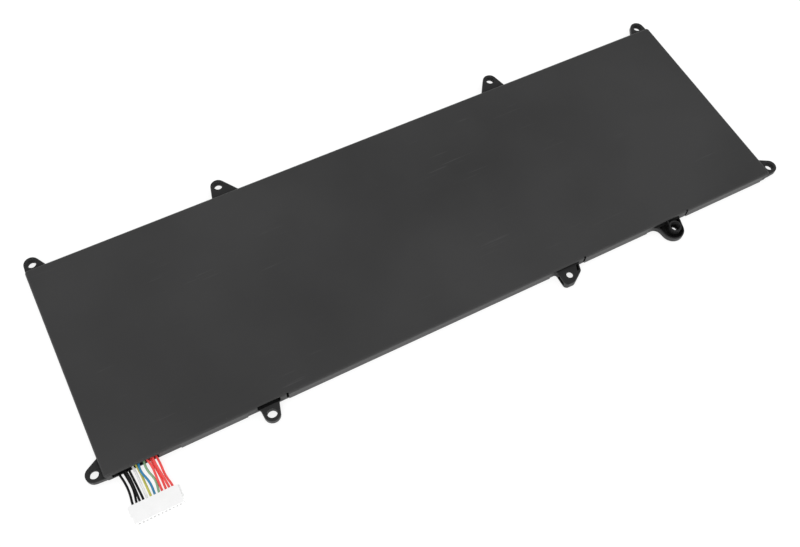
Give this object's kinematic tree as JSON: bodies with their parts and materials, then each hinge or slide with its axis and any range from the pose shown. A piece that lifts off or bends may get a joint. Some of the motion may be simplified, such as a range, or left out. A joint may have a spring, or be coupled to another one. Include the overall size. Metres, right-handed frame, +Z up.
{
  "type": "laptop battery pack",
  "caption": "Slim internal laptop battery: pouch cells in a moulded frame with screw ears, wrapped in dark film, with a short lead set and a white plug.",
  "frame": {"origin": "middle of the pack's underside, halfway along and across the film-wrapped slab without its ears and leads", "axes": "+X along the pack, from the end with the leads; +Y from the wall with the leads to the plain back wall; +Z up through the thickness"},
  "size_m": [0.2822, 0.1102, 0.0045],
  "materials": {
    "frame_plastic": "fine moulded grain, dark grey",
    "top_film": "satin dark grey film with faint mottling and scuffs",
    "bottom_film": "satin black film",
    "insulation_sheet": "dark grey insulating sheet",
    "board": "green solder mask",
    "solder": "dull solder",
    "capacitor": "plain ceramic",
    "resistor": "black coated ceramic",
    "connector_plastic": "near-white moulded nylon, slight gloss",
    "contact_metal": "tinned brass, bright",
    "chip": "black moulded epoxy",
    "fuse": "off-white ceramic",
    "sense_resistor": "bare metal strip",
    "thermistor": "grey ceramic",
    "cell_pouch": "satin laminated foil",
    "cell_tape": "pale double-sided tape",
    "positive_tab": "plain aluminium strip",
    "negative_tab": "plain nickel strip",
    "cutoff": "black moulded body",
    "lead_black": "smooth extruded sleeve",
    "lead_white": "smooth extruded sleeve",
    "lead_yellow": "smooth extruded sleeve, olive yellow",
    "lead_blue": "smooth extruded sleeve",
    "lead_green": "smooth extruded sleeve, pale green",
    "lead_red": "smooth extruded sleeve"
  },
  "bodies": {
    "root": {"bottom_film": "bottom_film", "capacitors": "capacitor", "cell_1": "cell_pouch", "cell_2": "cell_pouch", "cell_3": "cell_pouch", "cell_4": "cell_pouch", "cell_tape_1": "cell_tape", "cell_tape_2": "cell_tape", "cell_tape_3": "cell_tape", "cell_tape_4": "cell_tape", "charge_switch": "chip", "chemical_fuse": "fuse", "circuit_board": "board", "connector_contacts": "contact_metal", "connector_housing": "connector_plastic", "discharge_switch": "chip", "frame": "frame_plastic", "gauge_chip": "chip", "insulation_sheet": "insulation_sheet", "lead_black_1": "lead_black", "lead_black_2": "lead_black", "lead_black_3": "lead_black", "lead_black_4": "lead_black", "lead_blue": "lead_blue", "lead_green": "lead_green", "lead_red_1": "lead_red", "lead_red_2": "lead_red", "lead_red_3": "lead_red", "lead_red_4": "lead_red", "lead_white": "lead_white", "lead_yellow": "lead_yellow", "negative_tab_1": "negative_tab", "negative_tab_2": "negative_tab", "negative_tab_3": "negative_tab", "negative_tab_4": "negative_tab", "positive_tab_1": "positive_tab", "positive_tab_2": "positive_tab", "positive_tab_3": "positive_tab", "positive_tab_4": "positive_tab", "protector_chip": "chip", "resistors": "resistor", "sense_resistor": "sense_resistor", "solder_joints": "solder", "thermal_cutoff_1": "cutoff", "thermal_cutoff_2": "cutoff", "thermal_cutoff_3": "cutoff", "thermal_cutoff_4": "cutoff", "thermistor": "thermistor", "top_film": "top_film"}
  },
  "joints": []
}
